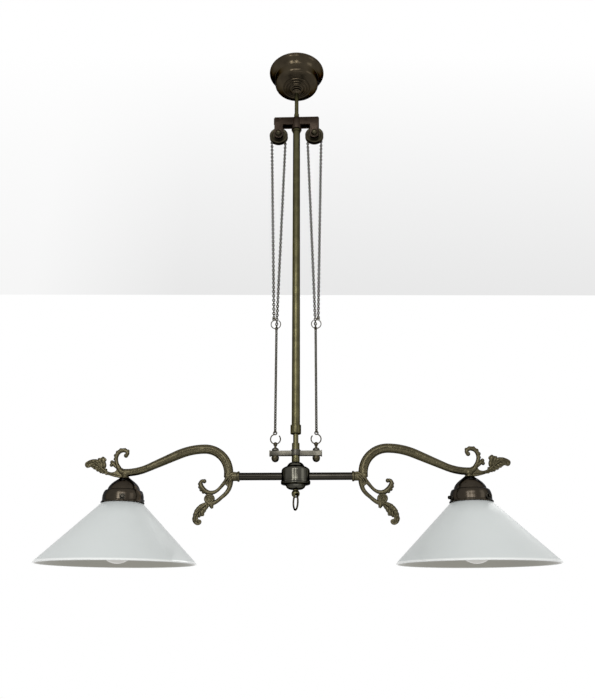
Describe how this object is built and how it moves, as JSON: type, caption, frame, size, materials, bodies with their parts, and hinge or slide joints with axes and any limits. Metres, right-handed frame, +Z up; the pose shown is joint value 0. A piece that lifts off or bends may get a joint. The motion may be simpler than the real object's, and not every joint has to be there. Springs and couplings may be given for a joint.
{
  "type": "rise and fall pendant",
  "caption": "ceiling pendant that rises and falls on chains, pulleys and a telescopic tube, with a scroll arm and an opal cone shade on each side",
  "frame": {"origin": "middle of the ceiling face, on the centre line, midway between the two screw slots", "axes": "+Z up towards the ceiling; X along the arms; +Y away from the side with the acorn nuts"},
  "size_m": [0.814, 0.25, 0.9883],
  "materials": {
    "zinc_steel": "satin",
    "plain_brass": "satin",
    "terminal_plastic": "matte",
    "rose_brass": "glossy",
    "tube_brass": "satin",
    "bracket_brown": "matte",
    "dark_brass": "satin",
    "bar_brass": "satin",
    "hub_gunmetal": "glossy",
    "black_pipe": "glossy",
    "arm_brass": "satin",
    "gallery_brown": "glossy",
    "holder_white": "glossy",
    "opal_glass": "glossy",
    "bulb_glass": "matte",
    "cap_metal": "satin"
  },
  "bodies": {
    "ceiling_mount": {"ceiling_strap": "zinc_steel", "strap_nipple": "plain_brass", "nipple_nuts": "zinc_steel", "terminal_block": "terminal_plastic", "socket_plug": "plain_brass", "ball_socket": "rose_brass", "canopy_cup": "rose_brass", "canopy_ring_nut": "rose_brass"},
    "swivel": {"swivel_ball": "rose_brass"},
    "upper_frame": {"suspension_rod": "tube_brass", "rod_lock_nut": "plain_brass", "rod_foot": "tube_brass", "pulley_bracket": "bracket_brown", "bracket_cover_plate": "bracket_brown", "cover_screws": "bracket_brown", "left_axle": "plain_brass", "right_axle": "plain_brass", "axle_cap_nuts": "dark_brass", "outer_tube": "tube_brass", "tube_collar": "tube_brass", "guide_bush": "terminal_plastic", "left_chain": "dark_brass", "right_chain": "dark_brass"},
    "left_pulley_body": {"left_pulley": "dark_brass"},
    "right_pulley_body": {"right_pulley": "dark_brass"},
    "left_hook_body": {"left_chain_hook": "dark_brass"},
    "right_hook_body": {"right_chain_hook": "dark_brass"},
    "lower_frame": {"inner_tube": "tube_brass", "tube_stop": "plain_brass", "tube_socket": "tube_brass", "crossbar": "bar_brass", "bar_washer": "bar_brass", "left_eye_stud": "dark_brass", "right_eye_stud": "dark_brass", "bell_nuts": "bar_brass", "acorn_nuts": "dark_brass", "left_ring_hook": "dark_brass", "right_ring_hook": "dark_brass", "hub_body": "hub_gunmetal", "hub_cover": "hub_gunmetal", "hub_terminal": "terminal_plastic", "finial": "tube_brass", "left_pipe": "black_pipe", "right_pipe": "black_pipe", "left_arm": "arm_brass", "right_arm": "arm_brass", "left_gallery": "gallery_brown", "right_gallery": "gallery_brown", "left_shade_screws": "black_pipe", "right_shade_screws": "black_pipe", "holder_nipples": "plain_brass", "holder_nuts": "zinc_steel", "left_lampholder": "holder_white", "right_lampholder": "holder_white", "left_shade": "opal_glass", "right_shade": "opal_glass", "left_bulb": "bulb_glass", "right_bulb": "bulb_glass", "bulb_caps": "cap_metal"},
    "pull_ring_body": {"pull_ring": "dark_brass"}
  },
  "joints": [
    {"name": "hang_tilt", "type": "hinge", "parent": "ceiling_mount", "child": "swivel", "pos_m": [0, 0, -0.049], "axis": [0, 1, 0], "range_deg": [-12, 12]},
    {"name": "lamp_turn", "type": "hinge", "parent": "swivel", "child": "upper_frame", "pos_m": [0, 0, -0.049], "axis": [0, 0, 1], "range_deg": [-170, 170]},
    {"name": "rise_fall", "type": "slide", "parent": "upper_frame", "child": "lower_frame", "axis": [0, 0, 1], "range_m": [-0.3, 0.015], "deforming": ["left_chain", "right_chain"]},
    {"name": "left_pulley_spin", "type": "hinge", "parent": "upper_frame", "child": "left_pulley_body", "pos_m": [-0.036, 0, -0.164], "axis": [0, 1, 0], "range_deg": [-62, 1229]},
    {"name": "right_pulley_spin", "type": "hinge", "parent": "upper_frame", "child": "right_pulley_body", "pos_m": [0.036, 0, -0.164], "axis": [0, 1, 0], "range_deg": [-1229, 62]},
    {"name": "left_hook_travel", "type": "slide", "parent": "upper_frame", "child": "left_hook_body", "axis": [-0.0252, 0, 0.9997], "range_m": [-0.0151, 0.3001]},
    {"name": "right_hook_travel", "type": "slide", "parent": "upper_frame", "child": "right_hook_body", "axis": [0.0252, 0, 0.9997], "range_m": [-0.0151, 0.3001]},
    {"name": "pull_ring_swing", "type": "hinge", "parent": "lower_frame", "child": "pull_ring_body", "pos_m": [0, 0, -0.8812], "axis": [-0.3256, 0.9455, 0], "range_deg": [-75, 75]}
  ],
  "couplings": [
    {"joint": "left_pulley_spin", "follows": "rise_fall", "rad_per_m": -71.429},
    {"joint": "right_pulley_spin", "follows": "rise_fall", "rad_per_m": 71.429},
    {"joint": "left_hook_travel", "follows": "rise_fall", "ratio": -1},
    {"joint": "right_hook_travel", "follows": "rise_fall", "ratio": -1}
  ]
}
